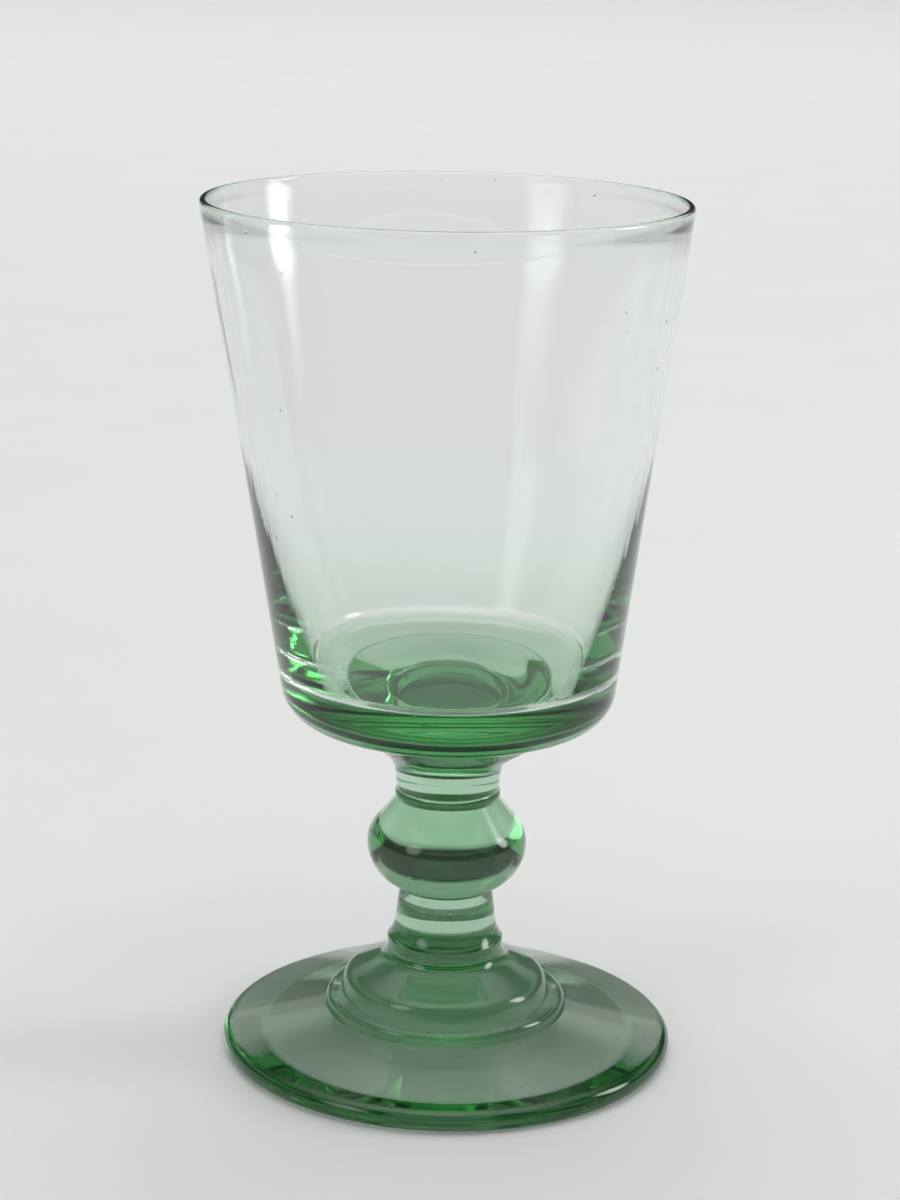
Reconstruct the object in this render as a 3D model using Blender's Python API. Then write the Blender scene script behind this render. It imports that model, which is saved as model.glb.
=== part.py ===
"""Hand-made green wine glass: bucket bowl, knopped stem and stepped conical foot.

Seven gathers of glass, fused hot on the real object, are modelled as seven closed solids of
revolution stacked on the Z axis, with a hair's gap at each joint. The glass stands on z = 0.
Metres, +Z up. Outlines are lists of (radius, height) points in the section plane.
"""

import math

import bmesh
import bpy

MM = 0.001

# Driving sizes
GLASS_HEIGHT = 130.0 * MM
JOINT_GAP = 0.3 * MM
TURN_STEPS = 64
ARC_STEP = math.radians(15.0)
SHARP_ANGLE = math.radians(32.0)
MERGE_DISTANCE = 0.001 * MM

# Bowl: a straight tapered wall, a bead at the rim and a heavy base
RIM_RADIUS = 35.75 * MM
BOWL_TAPER = 0.1455
THIN_WALL = 0.6 * MM
RIM_BEAD = 0.55 * MM
RIM_BEAD_DEPTH = 9.0 * MM
WALL_THICKENS_BELOW = 94.5 * MM
WALL_GROWTH = 3.5 * MM
WALL_GROWTH_POWER = 2.0
WALL_RINGS = 10
FLOOR_EDGE_HEIGHT = 59.3 * MM
FLOOR_CENTRE_HEIGHT = 60.3 * MM
FLOOR_FILLET = 2.5 * MM
BOWL_CORNER_HEIGHT = 53.0 * MM
BOWL_CORNER_ROUNDING = 6.0 * MM
UNDERSIDE_RADIUS = 18.5 * MM
UNDERSIDE_RISE = 0.55 * MM

# Neck: a flare under the bowl, a short straight part, and a thin ring pressed on to the knop
CREASE_RADIUS = 15.7 * MM
CREASE_HEIGHT = 51.6 * MM
FLARE_KNEE = (8.2 * MM, 46.0 * MM)
FLARE_ROUNDING = 5.0 * MM
NECK_RING_TOP = 41.5 * MM
NECK_RING_BULGE = 0.22 * MM
NECK_BASE_RADIUS = 7.75 * MM
NECK_BASE_HEIGHT = 40.2 * MM

# Knop: a cone that rounds over into a full lower half
KNOP_RADIUS = 12.08 * MM
KNOP_CENTRE_HEIGHT = 32.8 * MM
KNOP_UPPER_ROUNDING = 4.9 * MM
KNOP_UPPER_TURN = math.radians(40.0)
KNOP_LOWER_ROUNDING = 7.3 * MM
KNOP_BASE_RADIUS = 7.0 * MM

# Stem: nearly straight, flaring at its foot
STEM_FLARE_RADIUS = 7.6 * MM
STEM_FLARE_HEIGHT = 20.8 * MM
STEM_FLARE_ROUNDING = 5.0 * MM
STEM_FLARE_TURN = math.radians(40.0)

# Shoulder: a short waist, a shallow cone and a steep side
SHOULDER_NECK = (8.65 * MM, 14.7 * MM)
SHOULDER_NECK_ROUNDING = 2.6 * MM
SHOULDER_BRIM = (15.3 * MM, 11.6 * MM)
SHOULDER_BRIM_ROUNDING = 2.4 * MM
SHOULDER_BASE_RADIUS = 15.9 * MM
SHOULDER_BASE_HEIGHT = 9.1 * MM

# Collar: a low flange
COLLAR_EDGE = (18.15 * MM, 8.5 * MM)
COLLAR_ROUNDING = 1.3 * MM
COLLAR_RADIUS = 18.4 * MM
COLLAR_BASE_HEIGHT = 6.9 * MM

# Foot: a conical disc with a rounded rim, a flat ring to stand on and a hollow inside the ring
FOOT_RADIUS = 34.25 * MM
FOOT_EDGE_HEIGHT = 3.1 * MM
FOOT_EDGE_ROUNDING = 1.7 * MM
REST_RING_INNER = 27.5 * MM
HOLLOW_HEIGHT = 5.3 * MM
PONTIL_RADIUS = 4.6 * MM
PONTIL_DEPTH = 0.6 * MM

PALE_GREEN = (0.72, 0.87, 0.75, 1.0)
GREY_GREEN = (0.34, 0.52, 0.38, 1.0)
MID_GREEN = (0.16, 0.38, 0.20, 1.0)
DEEP_GREEN = (0.06, 0.22, 0.09, 1.0)


def clear_scene():
    """Remove every object that is in the file."""
    for item in list(bpy.data.objects):
        bpy.data.objects.remove(item)


def glass_material(name, colour):
    """Clear fire-polished glass, tinted green by iron."""
    material = bpy.data.materials.new(name)
    material.use_nodes = True
    shader = material.node_tree.nodes["Principled BSDF"]
    shader.inputs["Base Color"].default_value = colour
    shader.inputs["Roughness"].default_value = 0.03
    shader.inputs["Metallic"].default_value = 0.0
    shader.inputs["IOR"].default_value = 1.52
    shader.inputs["Transmission Weight"].default_value = 1.0
    return material


def arc(centre, radius, start, end):
    """Points on a circle in the section plane, from angle start to angle end."""
    steps = max(2, math.ceil(abs(end - start) / ARC_STEP))
    points = []
    for step in range(steps + 1):
        angle = start + (end - start) * step / steps
        points.append((centre[0] + radius * math.cos(angle), centre[1] + radius * math.sin(angle)))
    return points


def fillet(before, corner, after, radius):
    """The arc that rounds the corner between the lines before-corner and corner-after."""
    to_before = math.atan2(before[1] - corner[1], before[0] - corner[0])
    to_after = math.atan2(after[1] - corner[1], after[0] - corner[0])
    half = math.remainder(to_after - to_before, 2.0 * math.pi) / 2.0
    middle = to_before + half
    reach = radius / math.sin(abs(half))
    centre = (corner[0] + reach * math.cos(middle), corner[1] + reach * math.sin(middle))
    start = to_before - math.copysign(math.pi / 2.0, half)
    turn = math.copysign(math.pi - 2.0 * abs(half), -half)
    return arc(centre, radius, start, start + turn)


def turned(name, outline, colour):
    """Turn an outline that starts and ends on the axis into a closed solid."""
    shape = bmesh.new()
    points = [shape.verts.new((radius, 0.0, height)) for radius, height in outline]
    edges = [shape.edges.new(pair) for pair in zip(points, points[1:])]
    bmesh.ops.spin(
        shape,
        geom=points + edges,
        cent=(0.0, 0.0, 0.0),
        axis=(0.0, 0.0, 1.0),
        angle=2.0 * math.pi,
        steps=TURN_STEPS,
    )
    bmesh.ops.remove_doubles(shape, verts=shape.verts, dist=MERGE_DISTANCE)
    bmesh.ops.recalc_face_normals(shape, faces=shape.faces)
    mesh = bpy.data.meshes.new(name)
    shape.to_mesh(mesh)
    shape.free()
    mesh.shade_smooth()
    mesh.set_sharp_from_angle(angle=SHARP_ANGLE)
    mesh.materials.append(glass_material(name + "_glass", colour))
    solid = bpy.data.objects.new(name, mesh)
    bpy.context.scene.collection.objects.link(solid)


def outer_radius(height):
    """Outside radius of the bowl's straight wall."""
    return RIM_RADIUS - (GLASS_HEIGHT - height) * BOWL_TAPER


def wall_thickness(height):
    """Wall of the bowl: a bead at the rim, thin in the middle, heavy at the base."""
    above = height - (GLASS_HEIGHT - RIM_BEAD_DEPTH)
    bead = RIM_BEAD * max(0.0, above / RIM_BEAD_DEPTH) ** 2
    below = (WALL_THICKENS_BELOW - height) / (WALL_THICKENS_BELOW - FLOOR_EDGE_HEIGHT)
    growth = WALL_GROWTH * max(0.0, below) ** WALL_GROWTH_POWER
    return THIN_WALL + bead + growth


def inner_point(height):
    """Point of the bowl's inner wall."""
    return (outer_radius(height) - wall_thickness(height), height)


def make_bowl():
    """Blown bucket bowl, with its heavy base down to the crease over the neck."""
    rim_rounding = wall_thickness(GLASS_HEIGHT) / 2.0
    wall_top = GLASS_HEIGHT - rim_rounding
    wall_height = wall_top - FLOOR_EDGE_HEIGHT
    rises = [(ring / WALL_RINGS) ** 1.5 for ring in range(WALL_RINGS)]
    inside = [inner_point(FLOOR_EDGE_HEIGHT + wall_height * rise) for rise in rises]
    rim = arc((outer_radius(wall_top) - rim_rounding, wall_top), rim_rounding, math.pi, 0.0)
    corner = (outer_radius(BOWL_CORNER_HEIGHT), BOWL_CORNER_HEIGHT)
    joint_height = CREASE_HEIGHT + JOINT_GAP
    crease = (CREASE_RADIUS, joint_height)
    underside = (UNDERSIDE_RADIUS, joint_height + UNDERSIDE_RISE)
    floor_centre = (0.0, FLOOR_CENTRE_HEIGHT)
    outline = [floor_centre]
    outline += fillet(floor_centre, inside[0], inside[1], FLOOR_FILLET)
    outline += inside[1:]
    outline += rim
    outline += fillet(rim[-1], corner, underside, BOWL_CORNER_ROUNDING)
    outline += [underside, crease, (0.0, joint_height)]
    turned("bowl", outline, PALE_GREEN)


def make_neck():
    """Flared gather that carries the bowl, with a thin ring pressed on to the knop."""
    crease = (CREASE_RADIUS, CREASE_HEIGHT)
    waist = (NECK_BASE_RADIUS, NECK_RING_TOP)
    base = (NECK_BASE_RADIUS, NECK_BASE_HEIGHT)
    half_height = (NECK_RING_TOP - NECK_BASE_HEIGHT) / 2.0
    rounding = (half_height**2 + NECK_RING_BULGE**2) / (2.0 * NECK_RING_BULGE)
    turn = math.asin(half_height / rounding)
    centre = (NECK_BASE_RADIUS + NECK_RING_BULGE - rounding, NECK_BASE_HEIGHT + half_height)
    outline = [(0.0, CREASE_HEIGHT), crease]
    outline += fillet(crease, FLARE_KNEE, waist, FLARE_ROUNDING)
    outline += arc(centre, rounding, turn, 0.0)
    outline += arc(centre, rounding, 0.0, -turn)[1:-1]
    outline += [base, (0.0, NECK_BASE_HEIGHT)]
    turned("neck", outline, MID_GREEN)


def knop_lower_half():
    """The knop's lower arc, from its widest ring to the crease over the stem."""
    centre = (KNOP_RADIUS - KNOP_LOWER_ROUNDING, KNOP_CENTRE_HEIGHT)
    turn = math.acos((KNOP_BASE_RADIUS - centre[0]) / KNOP_LOWER_ROUNDING)
    return arc(centre, KNOP_LOWER_ROUNDING, 0.0, -turn)


def make_knop():
    """Rounded knop."""
    top_height = NECK_BASE_HEIGHT - JOINT_GAP
    upper_centre = (KNOP_RADIUS - KNOP_UPPER_ROUNDING, KNOP_CENTRE_HEIGHT)
    lower = knop_lower_half()
    outline = [(0.0, top_height), (NECK_BASE_RADIUS, top_height)]
    outline += arc(upper_centre, KNOP_UPPER_ROUNDING, KNOP_UPPER_TURN, 0.0)
    outline += lower[1:]
    outline += [(0.0, lower[-1][1])]
    turned("knop", outline, DEEP_GREEN)


def stem_flare():
    """The stem's lower arc, down to its edge on the shoulder."""
    centre = (STEM_FLARE_RADIUS + STEM_FLARE_ROUNDING, STEM_FLARE_HEIGHT)
    return arc(centre, STEM_FLARE_ROUNDING, math.pi, math.pi + STEM_FLARE_TURN)


def make_stem():
    """Short lower stem."""
    top_height = knop_lower_half()[-1][1] - JOINT_GAP
    flare = stem_flare()
    outline = [(0.0, top_height), (KNOP_BASE_RADIUS, top_height)]
    outline += flare
    outline += [(0.0, flare[-1][1])]
    turned("stem", outline, MID_GREEN)


def make_shoulder():
    """Stepped boss between the stem and the foot."""
    edge_radius, edge_height = stem_flare()[-1]
    top_height = edge_height - JOINT_GAP
    top = (edge_radius, top_height)
    base = (SHOULDER_BASE_RADIUS, SHOULDER_BASE_HEIGHT)
    outline = [(0.0, top_height), top]
    outline += fillet(top, SHOULDER_NECK, SHOULDER_BRIM, SHOULDER_NECK_ROUNDING)
    outline += fillet(SHOULDER_NECK, SHOULDER_BRIM, base, SHOULDER_BRIM_ROUNDING)
    outline += [base, (0.0, SHOULDER_BASE_HEIGHT)]
    turned("shoulder", outline, MID_GREEN)


def make_collar():
    """Low flange where the boss was pressed on to the foot."""
    top_height = SHOULDER_BASE_HEIGHT - JOINT_GAP
    start = (SHOULDER_BASE_RADIUS, top_height)
    base = (COLLAR_RADIUS, COLLAR_BASE_HEIGHT)
    outline = [(0.0, top_height), start]
    outline += fillet(start, COLLAR_EDGE, base, COLLAR_ROUNDING)
    outline += [base, (0.0, COLLAR_BASE_HEIGHT)]
    turned("collar", outline, MID_GREEN)


def make_foot():
    """Spun conical foot, hollow under its middle, with a pontil mark in the hollow."""
    top_height = COLLAR_BASE_HEIGHT - JOINT_GAP
    top = (COLLAR_RADIUS, top_height)
    edge_top = (FOOT_RADIUS, FOOT_EDGE_HEIGHT)
    edge_base = (FOOT_RADIUS, 0.0)
    ring_inner = (REST_RING_INNER, 0.0)
    outline = [(0.0, top_height), top]
    outline += fillet(top, edge_top, edge_base, FOOT_EDGE_ROUNDING)
    outline += fillet(edge_top, edge_base, ring_inner, FOOT_EDGE_ROUNDING)
    outline += [ring_inner, (PONTIL_RADIUS, HOLLOW_HEIGHT)]
    outline += [(0.0, HOLLOW_HEIGHT - PONTIL_DEPTH)]
    turned("foot", outline, GREY_GREEN)


def build():
    """Make the glass from the rim down."""
    clear_scene()
    make_bowl()
    make_neck()
    make_knop()
    make_stem()
    make_shoulder()
    make_collar()
    make_foot()


build()
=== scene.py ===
"""Green wine glass on a pale table: seven gathers of blown, fire-polished glass and a plain studio.

Laid out as a Blender add-on. Each gather is turned from its own outline as a closed solid. The
gathers are fused on the real glass, so they meet with a hair-thin seam, and light isn't bent there.
"""

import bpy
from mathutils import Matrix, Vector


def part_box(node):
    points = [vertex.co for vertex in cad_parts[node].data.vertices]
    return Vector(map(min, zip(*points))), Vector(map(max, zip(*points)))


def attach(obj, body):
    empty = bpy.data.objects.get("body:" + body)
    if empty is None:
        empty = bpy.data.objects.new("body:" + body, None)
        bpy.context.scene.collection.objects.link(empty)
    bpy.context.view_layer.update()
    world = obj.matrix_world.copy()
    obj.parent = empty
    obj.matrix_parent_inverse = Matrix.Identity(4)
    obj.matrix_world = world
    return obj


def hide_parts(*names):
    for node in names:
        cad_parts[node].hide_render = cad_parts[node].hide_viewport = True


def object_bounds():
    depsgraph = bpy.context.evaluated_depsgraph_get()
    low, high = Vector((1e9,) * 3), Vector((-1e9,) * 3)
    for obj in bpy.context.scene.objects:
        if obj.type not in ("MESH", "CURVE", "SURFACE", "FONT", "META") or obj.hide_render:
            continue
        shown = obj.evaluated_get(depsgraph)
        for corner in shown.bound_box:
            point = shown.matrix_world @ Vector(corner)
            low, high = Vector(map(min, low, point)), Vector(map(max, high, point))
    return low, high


bl_info = {
    "name": "Green Wine Glass",
    "version": (1, 0, 0),
    "blender": (4, 5, 0),
    "location": "View3D > Sidebar > Wine Glass",
    "description": "Builds a hand-made wine glass from its gathers, with a studio to see it in",
    "category": "Add Mesh",
}

import math

import bpy
import numpy as np
from bpy.props import FloatProperty, FloatVectorProperty, PointerProperty
from bpy.types import Operator, Panel, PropertyGroup
from mathutils import Matrix, Vector

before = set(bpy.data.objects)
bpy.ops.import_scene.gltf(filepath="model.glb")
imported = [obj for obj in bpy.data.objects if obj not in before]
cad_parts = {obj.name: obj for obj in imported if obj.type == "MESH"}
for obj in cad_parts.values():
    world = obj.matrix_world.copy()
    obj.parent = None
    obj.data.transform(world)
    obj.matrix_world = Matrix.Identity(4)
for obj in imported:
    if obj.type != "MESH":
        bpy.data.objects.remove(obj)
cad_low, cad_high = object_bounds()

MM = 0.001

# Heights of the fused joints, and of the rim, come from the frame
GLASS_TOP = cad_high.z
BOWL_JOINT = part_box("neck")[1].z
NECK_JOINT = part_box("knop")[1].z
KNOP_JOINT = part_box("stem")[1].z
STEM_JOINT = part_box("shoulder")[1].z
SHOULDER_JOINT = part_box("collar")[1].z
COLLAR_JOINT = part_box("foot")[1].z
RIM_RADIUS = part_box("bowl")[1].x
FOOT_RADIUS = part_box("foot")[1].x
COLLAR_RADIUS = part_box("collar")[1].x

# Radii of the creases that two gathers share
CREASE_RADIUS = 15.7 * MM
NECK_BASE_RADIUS = 7.75 * MM
KNOP_BASE_RADIUS = 7.0 * MM
SHOULDER_RADIUS = 15.9 * MM

# Heights at which the glass changes
LEAN_STARTS_ABOVE = 48.0 * MM
STEM_STANDS_ABOVE = 12.0 * MM
RIM_BEAD_DEPTH = 9.0 * MM
WALL_THICKENS_BELOW = 94.5 * MM

SEAM = 0.02 * MM
TURN_STEPS = 224
ARC_STEP = math.radians(4.0)
SHARP_ANGLE = math.radians(32.0)
GLASS_IOR = 1.52
IOR_LAYER = "refraction"


def linear(hex_colour):
    """The linear RGB of an sRGB hex colour."""
    channels = [int(hex_colour[start : start + 2], 16) / 255.0 for start in (1, 3, 5)]
    return tuple(c / 12.92 if c <= 0.04045 else ((c + 0.055) / 1.055) ** 2.4 for c in channels)


class WineGlassSizes(PropertyGroup):
    """Sizes of the glass that a maker would change."""

    taper: FloatProperty(
        name="Bowl Taper",
        description="Loss of radius for each unit of depth below the rim",
        default=0.1455,
    )
    thin_wall: FloatProperty(
        name="Thin Wall",
        description="Wall of the bowl at its middle",
        default=0.6 * MM,
        unit="LENGTH",
    )
    rim_bead: FloatProperty(
        name="Rim Bead",
        description="Extra wall at the fire-polished rim",
        default=0.55 * MM,
        unit="LENGTH",
    )
    heavy_base: FloatProperty(
        name="Heavy Base",
        description="Extra wall at the edge of the bowl's floor",
        default=3.5 * MM,
        unit="LENGTH",
    )
    floor_edge: FloatProperty(
        name="Floor Edge Height",
        description="Height where the bowl's wall turns into its floor",
        default=59.3 * MM,
        unit="LENGTH",
    )
    floor_centre: FloatProperty(
        name="Floor Centre Height",
        description="Height of the middle of the bowl's floor",
        default=60.3 * MM,
        unit="LENGTH",
    )
    knop_radius: FloatProperty(
        name="Knop Radius",
        description="Radius of the knop at its widest",
        default=12.08 * MM,
        unit="LENGTH",
    )
    hollow_height: FloatProperty(
        name="Hollow Height",
        description="Height of the hollow under the foot",
        default=5.3 * MM,
        unit="LENGTH",
    )
    lean: FloatProperty(
        name="Bowl Lean",
        description="How far the bowl leans from upright",
        default=math.radians(1.15),
        subtype="ANGLE",
    )
    offset: FloatProperty(
        name="Stem Offset",
        description="How far the stem stands off the foot's centre",
        default=0.55 * MM,
        unit="LENGTH",
    )


class WineGlassColours(PropertyGroup):
    """Colours of the glass and the studio."""

    iron_green: FloatVectorProperty(
        name="Iron Green",
        description="What is left of white light after one absorption length of glass",
        default=linear("#4acc75"),
        size=3,
        subtype="COLOR",
    )
    absorption: FloatProperty(
        name="Absorption",
        description="Absorption of the glass for each metre of path",
        default=52.0,
        min=0.0,
    )
    paper: FloatVectorProperty(
        name="Paper",
        description="Colour of the paper that the glass stands on",
        default=linear("#e7e7e8"),
        size=3,
        subtype="COLOR",
    )


def arc(centre, radius, start, end):
    """Points on a circle in the section plane, from angle start to angle end."""
    steps = max(2, math.ceil(abs(end - start) / ARC_STEP))
    points = []
    for step in range(steps + 1):
        angle = start + (end - start) * step / steps
        points.append((centre[0] + radius * math.cos(angle), centre[1] + radius * math.sin(angle)))
    return points


def fillet(before, corner, after, radius):
    """The arc that rounds the corner between the lines before-corner and corner-after."""
    to_before = math.atan2(before[1] - corner[1], before[0] - corner[0])
    to_after = math.atan2(after[1] - corner[1], after[0] - corner[0])
    half = math.remainder(to_after - to_before, 2.0 * math.pi) / 2.0
    middle = to_before + half
    reach = radius / math.sin(abs(half))
    centre = (corner[0] + reach * math.cos(middle), corner[1] + reach * math.sin(middle))
    start = to_before - math.copysign(math.pi / 2.0, half)
    turn = math.copysign(math.pi - 2.0 * abs(half), -half)
    return arc(centre, radius, start, start + turn)


def divided(outline, spacing):
    """The outline with its long stretches cut into steps no longer than spacing."""
    points = [outline[0]]
    for before, after in zip(outline, outline[1:]):
        length = math.dist(before, after)
        steps = max(1, math.ceil(length / spacing))
        for step in range(1, steps + 1):
            share = step / steps
            points.append(tuple(b + (a - b) * share for b, a in zip(before, after)))
    return points


def lean_offset(height, sizes):
    """How far the glass's axis is from upright at a height, along -X."""
    foot_share = np.minimum(1.0, height / STEM_STANDS_ABOVE)
    above = np.maximum(0.0, height - LEAN_STARTS_ABOVE)
    return -sizes.offset * foot_share - above * math.tan(sizes.lean)


def turned(name, outline, joints, spacing, skin, sizes):
    """Turn an outline from axis to axis, top first, into a closed solid; joints are its fused faces."""
    section = np.array(divided(outline, spacing))
    radius = section[1:-1, 0, None]
    height = section[1:-1, 1, None]
    angle = np.linspace(0.0, 2.0 * math.pi, TURN_STEPS, endpoint=False)[None, :]
    grown = radius + skin(radius, angle, height)
    rings = np.stack(
        [
            grown * np.cos(angle) + lean_offset(height, sizes),
            grown * np.sin(angle),
            np.broadcast_to(height, grown.shape),
        ],
        axis=-1,
    ).reshape(-1, 3)
    poles = [(lean_offset(h, sizes), 0.0, h) for h in (section[0, 1], section[-1, 1])]
    rows = len(radius)
    top = rows * TURN_STEPS
    faces = []
    ior = []
    for row in range(-1, rows):
        heights = section[row + 1 : row + 3, 1]
        fused = any(np.allclose(heights, joint, rtol=0.0, atol=0.1 * SEAM) for joint in joints)
        for step in range(TURN_STEPS):
            after = (step + 1) % TURN_STEPS
            upper = [row * TURN_STEPS + step, row * TURN_STEPS + after]
            lower = [upper[0] + TURN_STEPS, upper[1] + TURN_STEPS]
            if row < 0:
                faces.append((top, lower[0], lower[1]))
            elif row == rows - 1:
                faces.append((upper[0], top + 1, upper[1]))
            else:
                faces.append((upper[0], lower[0], lower[1], upper[1]))
            ior.append(1.0 if fused else GLASS_IOR)
    mesh = bpy.data.meshes.new(name)
    mesh.from_pydata(rings.tolist() + poles, [], faces)
    mesh.attributes.new(IOR_LAYER, "FLOAT", "FACE").data.foreach_set("value", ior)
    mesh.shade_smooth()
    mesh.set_sharp_from_angle(angle=SHARP_ANGLE)
    piece = bpy.data.objects.new(name, mesh)
    bpy.context.scene.collection.objects.link(piece)
    return piece


def add_node(tree, kind, settings=(), links=()):
    """Add a node with its settings, and link its inputs from other nodes' outputs."""
    node = tree.nodes.new(kind)
    for key, value in dict(settings).items():
        if key in node.inputs:
            node.inputs[key].default_value = value
        else:
            setattr(node, key, value)
    for key, source in dict(links).items():
        tree.links.new(source, node.inputs[key])
    return node


def uneven_surface(tree, place, grain, stretch, depth):
    """Slow waves from the blowing, a grain that the tools drew out, and small seeds."""
    waves = add_node(
        tree,
        "ShaderNodeTexNoise",
        {"Scale": 1.0 / (15.0 * MM), "Detail": 1.0},
        {"Vector": place},
    )
    drawn_out = add_node(tree, "ShaderNodeMapping", {"Scale": stretch}, {"Vector": place})
    tooling = add_node(
        tree,
        "ShaderNodeTexNoise",
        {"Scale": 1.0 / grain, "Detail": 2.0, "Roughness": 0.6},
        {"Vector": drawn_out.outputs["Vector"]},
    )
    # One seed in each cell, and a speck only where the surface cuts through it
    seeds = add_node(
        tree,
        "ShaderNodeTexVoronoi",
        {"Scale": 1.0 / (4.5 * MM)},
        {"Vector": place},
    )
    specks = add_node(
        tree,
        "ShaderNodeMapRange",
        {"From Max": 0.07, "To Min": 1.0, "To Max": 0.0, "interpolation_type": "SMOOTHSTEP"},
        {"Value": seeds.outputs["Distance"]},
    )
    waved = add_node(
        tree,
        "ShaderNodeBump",
        {"Distance": 0.02 * MM},
        {"Height": waves.outputs["Fac"]},
    )
    tooled = add_node(
        tree,
        "ShaderNodeBump",
        {"Distance": depth},
        {"Height": tooling.outputs["Fac"], "Normal": waved.outputs["Normal"]},
    )
    seeded = add_node(
        tree,
        "ShaderNodeBump",
        {"Distance": 0.05 * MM},
        {"Height": specks.outputs["Result"], "Normal": tooled.outputs["Normal"]},
    )
    return seeded.outputs["Normal"]


def worn_surface(tree, place, scar):
    """Roughness: faint haze from handling, scuffs that the table left, and the pontil scar."""
    smears = add_node(
        tree,
        "ShaderNodeTexNoise",
        {"Scale": 1.0 / (22.0 * MM), "Detail": 4.0, "Roughness": 0.65},
        {"Vector": place},
    )
    haze = add_node(
        tree,
        "ShaderNodeMapRange",
        {"From Min": 0.55, "From Max": 0.8, "To Max": 0.05},
        {"Value": smears.outputs["Fac"]},
    )
    axes = add_node(tree, "ShaderNodeSeparateXYZ", {}, {"Vector": place})
    near_table = add_node(
        tree,
        "ShaderNodeMapRange",
        {"From Max": 0.25 * MM, "To Min": 1.0, "To Max": 0.0},
        {"Value": axes.outputs["Z"]},
    )
    # Real scuffs are a tenth of this, and are drawn only as coarse as they need to show
    grit = add_node(
        tree,
        "ShaderNodeTexNoise",
        {"Scale": 1.0 / (0.7 * MM), "Detail": 3.0},
        {"Vector": place},
    )
    scuffs = add_node(
        tree,
        "ShaderNodeMapRange",
        {"From Min": 0.55, "From Max": 0.8, "To Max": 0.08},
        {"Value": grit.outputs["Fac"]},
    )
    worn = add_node(
        tree,
        "ShaderNodeMath",
        {"operation": "MULTIPLY_ADD"},
        {0: near_table.outputs["Result"], 1: scuffs.outputs["Result"], 2: haze.outputs["Result"]},
    )
    level = add_node(tree, "ShaderNodeMapping", {"Scale": (1.0, 1.0, 0.0)}, {"Vector": place})
    reach = add_node(
        tree,
        "ShaderNodeVectorMath",
        {"operation": "LENGTH"},
        {"Vector": level.outputs["Vector"]},
    )
    broken = add_node(
        tree,
        "ShaderNodeMapRange",
        {"From Min": scar, "From Max": scar + 3.0 * MM, "To Min": 0.45 if scar else 0.0, "To Max": 0.0},
        {"Value": reach.outputs["Value"]},
    )
    rougher = add_node(
        tree,
        "ShaderNodeMath",
        {"operation": "MAXIMUM"},
        {0: worn.outputs["Value"], 1: broken.outputs["Result"]},
    )
    return rougher.outputs["Value"]


def soda_glass(name, colours, grain, stretch, depth, scar=0.0):
    """Soda glass coloured by iron: clear and glossy, and greener the longer the path through it."""
    material = bpy.data.materials.new(name)
    material.use_nodes = True
    tree = material.node_tree
    tree.nodes.clear()
    place = add_node(tree, "ShaderNodeTexCoord").outputs["Object"]
    refraction = add_node(tree, "ShaderNodeAttribute", {"attribute_name": IOR_LAYER})
    shader = add_node(
        tree,
        "ShaderNodeBsdfPrincipled",
        {"Base Color": (1.0, 1.0, 1.0, 1.0), "IOR": GLASS_IOR, "Transmission Weight": 1.0},
        {
            "IOR": refraction.outputs["Fac"],
            "Roughness": worn_surface(tree, place, scar),
            "Normal": uneven_surface(tree, place, grain, stretch, depth),
        },
    )
    tint = add_node(
        tree,
        "ShaderNodeVolumeAbsorption",
        {"Color": (*colours.iron_green, 1.0), "Density": colours.absorption},
    )
    add_node(
        tree,
        "ShaderNodeOutputMaterial",
        {},
        {"Surface": shader.outputs["BSDF"], "Volume": tint.outputs["Volume"]},
    )
    return material


def blown_glass(name, colours):
    """Blown wall: faint upright streaks, drawn out as the bubble lengthened, catch the light."""
    return soda_glass(name, colours, 5.0 * MM, (1.0, 1.0, 0.08), 0.03 * MM)


def tooled_glass(name, colours):
    """Solid glass shaped by the jacks as it turned: close level rings bend what is seen through."""
    return soda_glass(name, colours, 1.6 * MM, (0.05, 0.05, 1.0), 0.006 * MM)


def spun_glass(name, colours):
    """Foot glass spun out flat: rings round the axis, a scuffed rim and a rough scar underneath."""
    return soda_glass(name, colours, 0.8 * MM, (0.04, 0.04, 1.0), 0.008 * MM, 14.0 * MM)


def pressed_paper(colour):
    """Matt paper: short fibres break up the light, and the sheet is a little uneven in tone."""
    material = bpy.data.materials.new("pressed_paper")
    material.use_nodes = True
    tree = material.node_tree
    place = add_node(tree, "ShaderNodeTexCoord").outputs["Object"]
    fibres = add_node(
        tree,
        "ShaderNodeTexNoise",
        {"Scale": 1.0 / (0.6 * MM), "Detail": 2.0},
        {"Vector": place},
    )
    cockle = add_node(
        tree,
        "ShaderNodeTexNoise",
        {"Scale": 1.0 / (60.0 * MM), "Detail": 2.0},
        {"Vector": place},
    )
    darker = tuple(0.96 * channel for channel in colour)
    tone = add_node(
        tree,
        "ShaderNodeMix",
        {"data_type": "RGBA", "A": (*colour, 1.0), "B": (*darker, 1.0)},
        {"Factor": cockle.outputs["Fac"]},
    )
    matt = add_node(
        tree,
        "ShaderNodeMapRange",
        {"To Min": 0.8, "To Max": 1.0},
        {"Value": fibres.outputs["Fac"]},
    )
    normal = add_node(
        tree,
        "ShaderNodeBump",
        {"Distance": 0.03 * MM},
        {"Height": fibres.outputs["Fac"]},
    )
    shader = tree.nodes["Principled BSDF"]
    tree.links.new(tone.outputs["Result"], shader.inputs["Base Color"])
    tree.links.new(matt.outputs["Result"], shader.inputs["Roughness"])
    tree.links.new(normal.outputs["Normal"], shader.inputs["Normal"])
    return material


def finish_piece(piece, node, material):
    """Give a gather its glass, hide the frame's part for its node, and hang the gather under the root.
    """
    piece.data.materials.append(material)
    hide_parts(node)
    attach(piece, "root")


def hand_made(radius, angle, height):
    """A slight oval, turning with height, that nothing blown by hand is free of."""
    return 0.003 * radius * np.cos(2.0 * angle + 0.5 + height / (30.0 * MM))


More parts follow.
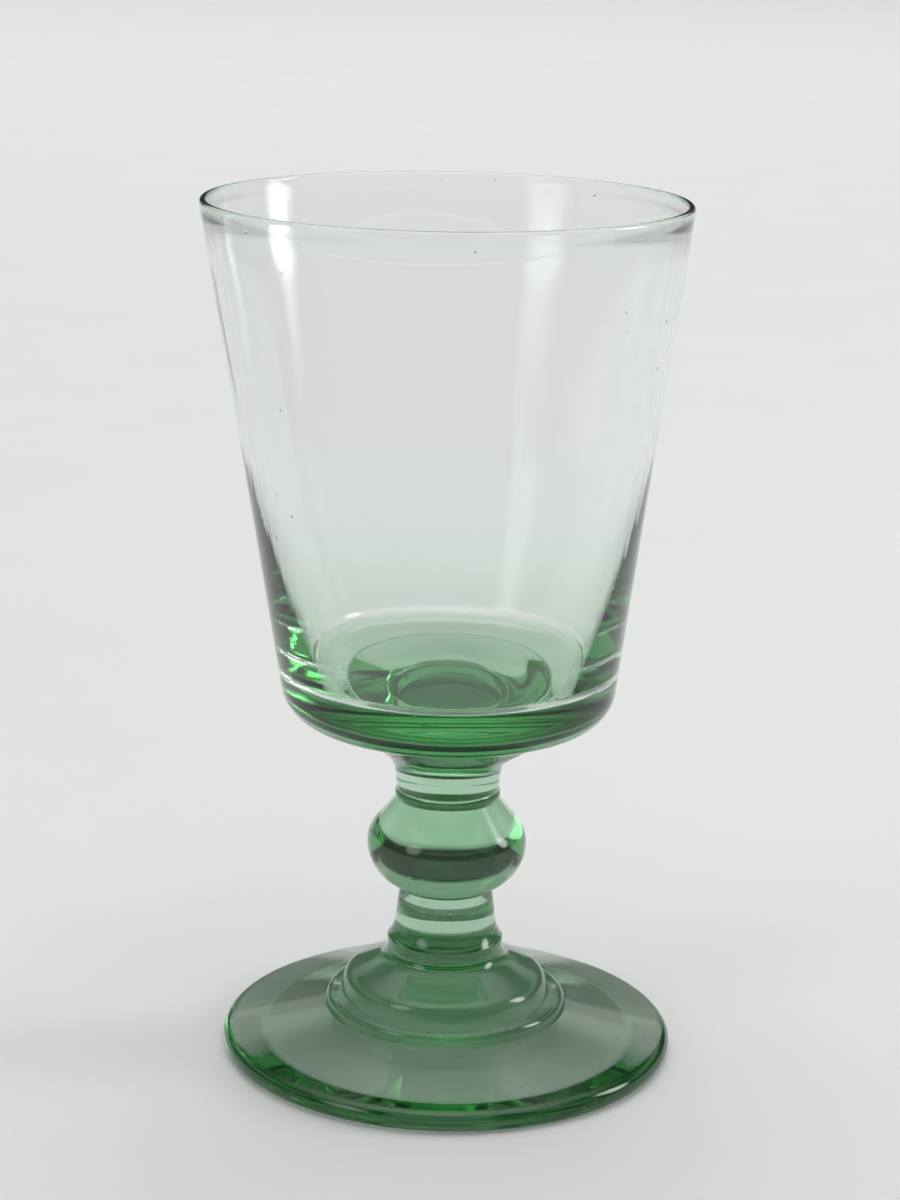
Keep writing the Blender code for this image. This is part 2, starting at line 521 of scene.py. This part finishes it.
def uneven_flare(radius, angle, height):
    """The neck's flare is fuller on its +X side."""
    flare_base = 45.0 * MM
    share = np.clip((height - flare_base) / (BOWL_JOINT - flare_base), 0.0, 1.0)
    swell = 1.1 * MM * np.sin(math.pi * share) ** 2 * np.maximum(0.0, np.cos(angle)) ** 2
    return hand_made(radius, angle, height) + swell


def outer_radius(height, sizes):
    """Outside radius of the bowl's straight wall."""
    return RIM_RADIUS - (GLASS_TOP - height) * sizes.taper


def wall_thickness(height, sizes):
    """Wall of the bowl: a bead at the rim, thin in the middle, heavy at the base."""
    above = height - (GLASS_TOP - RIM_BEAD_DEPTH)
    bead = sizes.rim_bead * max(0.0, above / RIM_BEAD_DEPTH) ** 2
    below = (WALL_THICKENS_BELOW - height) / (WALL_THICKENS_BELOW - sizes.floor_edge)
    growth = sizes.heavy_base * max(0.0, below) ** 2
    return sizes.thin_wall + bead + growth


class WINEGLASS_OT_bowl(Operator):
    """Blow the bucket bowl, with its heavy base"""

    bl_idname = "wineglass.bowl"
    bl_label = "Bowl"

    def execute(self, context):
        sizes = context.scene.wine_glass_sizes
        rim_rounding = wall_thickness(GLASS_TOP, sizes) / 2.0
        wall_top = GLASS_TOP - rim_rounding
        rise = wall_top - sizes.floor_edge
        heights = [sizes.floor_edge + rise * (ring / 60) ** 1.2 for ring in range(60)]
        inside = [(outer_radius(h, sizes) - wall_thickness(h, sizes), h) for h in heights]
        rim = arc((outer_radius(wall_top, sizes) - rim_rounding, wall_top), rim_rounding, math.pi, 0.0)
        corner_height = 53.0 * MM
        corner = (outer_radius(corner_height, sizes), corner_height)
        joint = BOWL_JOINT + SEAM
        crease = (CREASE_RADIUS, joint)
        groove = 0.2 * MM
        groove_centre = (CREASE_RADIUS + groove, joint + groove / 5.0)
        under = (18.5 * MM, joint + 0.55 * MM)
        centre = (0.0, sizes.floor_centre)
        outline = [centre]
        outline += fillet(centre, inside[0], inside[1], 2.5 * MM)
        outline += inside[1:]
        outline += rim
        outline += fillet(rim[-1], corner, under, 6.0 * MM)
        outline += [under]
        outline += arc(groove_centre, groove, 0.0, math.pi)
        outline += [crease, (0.0, joint)]
        piece = turned("bowl_glass", outline, [joint], 1.5 * MM, hand_made, sizes)
        material = blown_glass("blown_soda_glass_bowl", context.scene.wine_glass_colours)
        finish_piece(piece, "bowl", material)
        return {"FINISHED"}


class WINEGLASS_OT_neck(Operator):
    """Draw the flared neck that carries the bowl, with its pressed ring"""

    bl_idname = "wineglass.neck"
    bl_label = "Neck"

    def execute(self, context):
        sizes = context.scene.wine_glass_sizes
        joint = NECK_JOINT + SEAM
        crease = (CREASE_RADIUS, BOWL_JOINT)
        knee = (8.2 * MM, 46.0 * MM)
        waist = (NECK_BASE_RADIUS, 41.5 * MM)
        base = (NECK_BASE_RADIUS, joint)
        half_height = (waist[1] - joint) / 2.0
        bulge = 0.22 * MM
        rounding = (half_height**2 + bulge**2) / (2.0 * bulge)
        turn = math.asin(half_height / rounding)
        centre = (base[0] + bulge - rounding, joint + half_height)
        outline = [(0.0, BOWL_JOINT), crease]
        outline += fillet(crease, knee, waist, 5.0 * MM)
        outline += arc(centre, rounding, turn, 0.0)
        outline += arc(centre, rounding, 0.0, -turn)[1:-1]
        outline += [base, (0.0, joint)]
        piece = turned("neck_glass", outline, [BOWL_JOINT, joint], 0.6 * MM, uneven_flare, sizes)
        material = tooled_glass("tooled_soda_glass_neck", context.scene.wine_glass_colours)
        finish_piece(piece, "neck", material)
        return {"FINISHED"}


class WINEGLASS_OT_knop(Operator):
    """Gather the rounded knop"""

    bl_idname = "wineglass.knop"
    bl_label = "Knop"

    def execute(self, context):
        sizes = context.scene.wine_glass_sizes
        joint = KNOP_JOINT + SEAM
        centre_height = 32.8 * MM
        upper = 4.9 * MM
        lower = 7.3 * MM
        upper_centre = (sizes.knop_radius - upper, centre_height)
        lower_centre = (sizes.knop_radius - lower, centre_height)
        turn = math.acos((KNOP_BASE_RADIUS - lower_centre[0]) / lower)
        outline = [(0.0, NECK_JOINT), (NECK_BASE_RADIUS, NECK_JOINT)]
        outline += arc(upper_centre, upper, math.radians(40.0), 0.0)
        outline += arc(lower_centre, lower, 0.0, -turn)[1:-1]
        outline += [(KNOP_BASE_RADIUS, joint), (0.0, joint)]
        piece = turned("knop_glass", outline, [NECK_JOINT, joint], 0.8 * MM, hand_made, sizes)
        material = tooled_glass("tooled_soda_glass_knop", context.scene.wine_glass_colours)
        finish_piece(piece, "knop", material)
        return {"FINISHED"}


def stem_flare():
    """The stem's lower arc, down to its edge on the shoulder."""
    return arc((12.6 * MM, 20.8 * MM), 5.0 * MM, math.pi, math.pi + math.radians(40.0))


class WINEGLASS_OT_stem(Operator):
    """Draw the short stem under the knop"""

    bl_idname = "wineglass.stem"
    bl_label = "Stem"

    def execute(self, context):
        sizes = context.scene.wine_glass_sizes
        joint = STEM_JOINT + SEAM
        flare = stem_flare()
        outline = [(0.0, KNOP_JOINT), (KNOP_BASE_RADIUS, KNOP_JOINT)]
        outline += flare
        outline += [(flare[-1][0], joint), (0.0, joint)]
        piece = turned("stem_glass", outline, [KNOP_JOINT, joint], 0.6 * MM, hand_made, sizes)
        material = tooled_glass("tooled_soda_glass_stem", context.scene.wine_glass_colours)
        finish_piece(piece, "stem", material)
        return {"FINISHED"}


class WINEGLASS_OT_shoulder(Operator):
    """Press the stepped shoulder under the stem"""

    bl_idname = "wineglass.shoulder"
    bl_label = "Shoulder"

    def execute(self, context):
        sizes = context.scene.wine_glass_sizes
        joint = SHOULDER_JOINT + SEAM
        top = (stem_flare()[-1][0], STEM_JOINT)
        neck = (8.65 * MM, 14.7 * MM)
        brim = (15.3 * MM, 11.6 * MM)
        base = (SHOULDER_RADIUS, joint)
        outline = [(0.0, STEM_JOINT), top]
        outline += fillet(top, neck, brim, 2.6 * MM)
        outline += fillet(neck, brim, base, 2.4 * MM)
        outline += [base, (0.0, joint)]
        piece = turned("shoulder_glass", outline, [STEM_JOINT, joint], 0.6 * MM, hand_made, sizes)
        material = tooled_glass("tooled_soda_glass_shoulder", context.scene.wine_glass_colours)
        finish_piece(piece, "shoulder", material)
        return {"FINISHED"}


class WINEGLASS_OT_collar(Operator):
    """Press the low collar on to the foot"""

    bl_idname = "wineglass.collar"
    bl_label = "Collar"

    def execute(self, context):
        sizes = context.scene.wine_glass_sizes
        joint = COLLAR_JOINT + SEAM
        start = (SHOULDER_RADIUS, SHOULDER_JOINT)
        base = (COLLAR_RADIUS, joint)
        outline = [(0.0, SHOULDER_JOINT), start]
        edge = (18.15 * MM, 8.5 * MM)
        outline += fillet(start, edge, base, 1.3 * MM)
        outline += [base, (0.0, joint)]
        piece = turned("collar_glass", outline, [SHOULDER_JOINT, joint], 0.6 * MM, hand_made, sizes)
        material = tooled_glass("tooled_soda_glass_collar", context.scene.wine_glass_colours)
        finish_piece(piece, "collar", material)
        return {"FINISHED"}


class WINEGLASS_OT_foot(Operator):
    """Spin the conical foot, hollow underneath, with its pontil mark"""

    bl_idname = "wineglass.foot"
    bl_label = "Foot"

    def execute(self, context):
        sizes = context.scene.wine_glass_sizes
        rounding = 1.7 * MM
        top = (COLLAR_RADIUS, COLLAR_JOINT)
        edge_top = (FOOT_RADIUS, 3.1 * MM)
        edge_base = (FOOT_RADIUS, 0.0)
        ring_inner = (27.5 * MM, 0.0)
        outline = [(0.0, COLLAR_JOINT), top]
        outline += fillet(top, edge_top, edge_base, rounding)
        outline += fillet(edge_top, edge_base, ring_inner, rounding)
        outline += [ring_inner, (4.6 * MM, sizes.hollow_height)]
        outline += [(0.0, sizes.hollow_height - 0.6 * MM)]
        piece = turned("foot_glass", outline, [COLLAR_JOINT], 1.0 * MM, hand_made, sizes)
        material = spun_glass("spun_soda_glass_foot", context.scene.wine_glass_colours)
        finish_piece(piece, "foot", material)
        return {"FINISHED"}


def soft_light(name, place, target, width, height, power):
    """A plain softbox that faces its target."""
    data = bpy.data.lights.new(name, "AREA")
    data.shape = "RECTANGLE"
    data.size = width
    data.size_y = height
    data.energy = power
    light = bpy.data.objects.new(name, data)
    light.location = place
    light.rotation_euler = (Vector(target) - Vector(place)).to_track_quat("-Z", "Y").to_euler()
    bpy.context.scene.collection.objects.link(light)
    return light


def soft_panel(name, place, width, height, radiance):
    """A softbox whose light fades towards its edges, facing the glass."""
    panel = bpy.data.objects.new(name, bpy.data.meshes.new(name))
    corners = [(-0.5, -0.5, 0.0), (0.5, -0.5, 0.0), (0.5, 0.5, 0.0), (-0.5, 0.5, 0.0)]
    panel.data.from_pydata([(x * width, y * height, z) for x, y, z in corners], [], [(0, 1, 2, 3)])
    panel.location = place
    towards = Vector((0.0, 0.0, 0.06)) - Vector(place)
    panel.rotation_euler = towards.to_track_quat("Z", "Y").to_euler()
    bpy.context.scene.collection.objects.link(panel)
    material = bpy.data.materials.new(name)
    material.use_nodes = True
    tree = material.node_tree
    tree.nodes.clear()
    where = add_node(tree, "ShaderNodeTexCoord")
    share = add_node(
        tree,
        "ShaderNodeMapping",
        {"Location": (-1.0, -1.0, 0.0), "Scale": (2.0, 2.0, 0.0)},
        {"Vector": where.outputs["Generated"]},
    )
    falloff = add_node(
        tree,
        "ShaderNodeTexGradient",
        {"gradient_type": "QUADRATIC_SPHERE"},
        {"Vector": share.outputs["Vector"]},
    )
    glow = add_node(
        tree,
        "ShaderNodeMapRange",
        {"interpolation_type": "SMOOTHSTEP", "To Max": radiance, "From Max": 0.35},
        {"Value": falloff.outputs["Fac"]},
    )
    emission = add_node(tree, "ShaderNodeEmission", {}, {"Strength": glow.outputs["Result"]})
    add_node(tree, "ShaderNodeOutputMaterial", {}, {"Surface": emission.outputs["Emission"]})
    panel.data.materials.append(material)


def paper_floor(colour):
    """A wide flat sheet, a hair below the foot, so that the rest ring reflects like the real one."""
    level = -0.05 * MM
    corners = [(-5.0, -5.0, level), (5.0, -5.0, level), (5.0, 5.0, level), (-5.0, 5.0, level)]
    floor = bpy.data.objects.new("paper_floor", bpy.data.meshes.new("paper_floor"))
    floor.data.from_pydata(corners, [], [(0, 1, 2, 3)])
    floor.data.materials.append(pressed_paper(colour))
    bpy.context.scene.collection.objects.link(floor)


def graded_room():
    """The room by height above the horizon: light paper, a dark gap, a pale band, a lit ceiling."""
    world = bpy.data.worlds.new("studio")
    world.use_nodes = True
    tree = world.node_tree
    place = add_node(tree, "ShaderNodeTexCoord")
    axes = add_node(tree, "ShaderNodeSeparateXYZ", {}, {"Vector": place.outputs["Generated"]})
    rise = add_node(tree, "ShaderNodeValToRGB", {}, {"Fac": axes.outputs["Z"]})
    stops = rise.color_ramp.elements
    stops[0].color = (0.6, 0.6, 0.6, 1.0)
    stops[1].color = (1.65, 1.65, 1.65, 1.0)
    for height, light in (
        (0.01, 0.6),
        (0.05, 0.06),
        (0.3, 0.06),
        (0.33, 0.5),
        (0.45, 0.5),
        (0.52, 0.06),
        (0.6, 0.06),
    ):
        stops.new(height).color = (light, light, light, 1.0)
    rise.color_ramp.interpolation = "EASE"
    tree.links.new(rise.outputs["Color"], tree.nodes["Background"].inputs["Color"])
    bpy.context.scene.world = world


def view_camera():
    """A long lens in front of the glass, looking a little down on it."""
    data = bpy.data.cameras.new("camera")
    data.lens = 86.36
    data.sensor_width = 36.0
    data.clip_start = 0.01
    data.clip_end = 20.0
    camera = bpy.data.objects.new("camera", data)
    place = Matrix.Translation((0.0, -0.4138, 0.1807))
    heading = Matrix.Rotation(math.radians(0.104), 4, "Z")
    pitch = Matrix.Rotation(math.radians(90.0 - 14.913), 4, "X")
    roll = Matrix.Rotation(math.radians(1.105), 4, "Z")
    camera.matrix_world = place @ heading @ pitch @ roll
    bpy.context.scene.collection.objects.link(camera)
    bpy.context.scene.camera = camera


class WINEGLASS_OT_stage(Operator):
    """Set the paper, the room, the soft lights and the camera"""

    bl_idname = "wineglass.stage"
    bl_label = "Stage"

    def execute(self, context):
        scene = context.scene
        paper_floor(scene.wine_glass_colours.paper)
        graded_room()
        soft_panel("softbox_right", (0.86, 0.08, 0.40), 0.45, 0.75, 7.5)
        soft_panel("softbox_left", (-0.75, -0.6, 0.45), 0.7, 0.9, 2.4)
        paper_light = soft_light("paper_light", (0.0, 1.9, 2.1), (0.0, 1.9, 0.0), 3.4, 2.8, 27.0)
        paper_light.visible_glossy = False
        paper_light.visible_transmission = False
        view_camera()

        scene.view_settings.view_transform = "Standard"
        scene.cycles.max_bounces = 32
        scene.cycles.transmission_bounces = 32
        scene.cycles.glossy_bounces = 16
        scene.cycles.diffuse_bounces = 4
        scene.cycles.transparent_max_bounces = 32
        scene.cycles.sample_clamp_indirect = 8.0
        return {"FINISHED"}


OPERATORS = (
    WINEGLASS_OT_stage,
    WINEGLASS_OT_bowl,
    WINEGLASS_OT_neck,
    WINEGLASS_OT_knop,
    WINEGLASS_OT_stem,
    WINEGLASS_OT_shoulder,
    WINEGLASS_OT_collar,
    WINEGLASS_OT_foot,
)


class WINEGLASS_PT_panel(Panel):
    """The glass's sizes and colours, and a button for each gather"""

    bl_idname = "WINEGLASS_PT_panel"
    bl_label = "Wine Glass"
    bl_space_type = "VIEW_3D"
    bl_region_type = "UI"
    bl_category = "Wine Glass"

    def draw(self, context):
        for group in (context.scene.wine_glass_sizes, context.scene.wine_glass_colours):
            for key in group.bl_rna.properties.keys():
                if key not in {"rna_type", "name"}:
                    self.layout.prop(group, key)
        for operator in OPERATORS:
            self.layout.operator(operator.bl_idname)


CLASSES = (WineGlassSizes, WineGlassColours, *OPERATORS, WINEGLASS_PT_panel)


def register():
    """Register the classes, and hang the sizes and colours on the scene."""
    for item in CLASSES:
        bpy.utils.register_class(item)
    bpy.types.Scene.wine_glass_sizes = PointerProperty(type=WineGlassSizes)
    bpy.types.Scene.wine_glass_colours = PointerProperty(type=WineGlassColours)


def unregister():
    """Undo what register did."""
    del bpy.types.Scene.wine_glass_colours
    del bpy.types.Scene.wine_glass_sizes
    for item in reversed(CLASSES):
        bpy.utils.unregister_class(item)


def main():
    """Build the glass and its studio."""
    register()
    for operator in OPERATORS:
        group, name = operator.bl_idname.split(".")
        getattr(getattr(bpy.ops, group), name)()


if __name__ == "__main__":
    main()
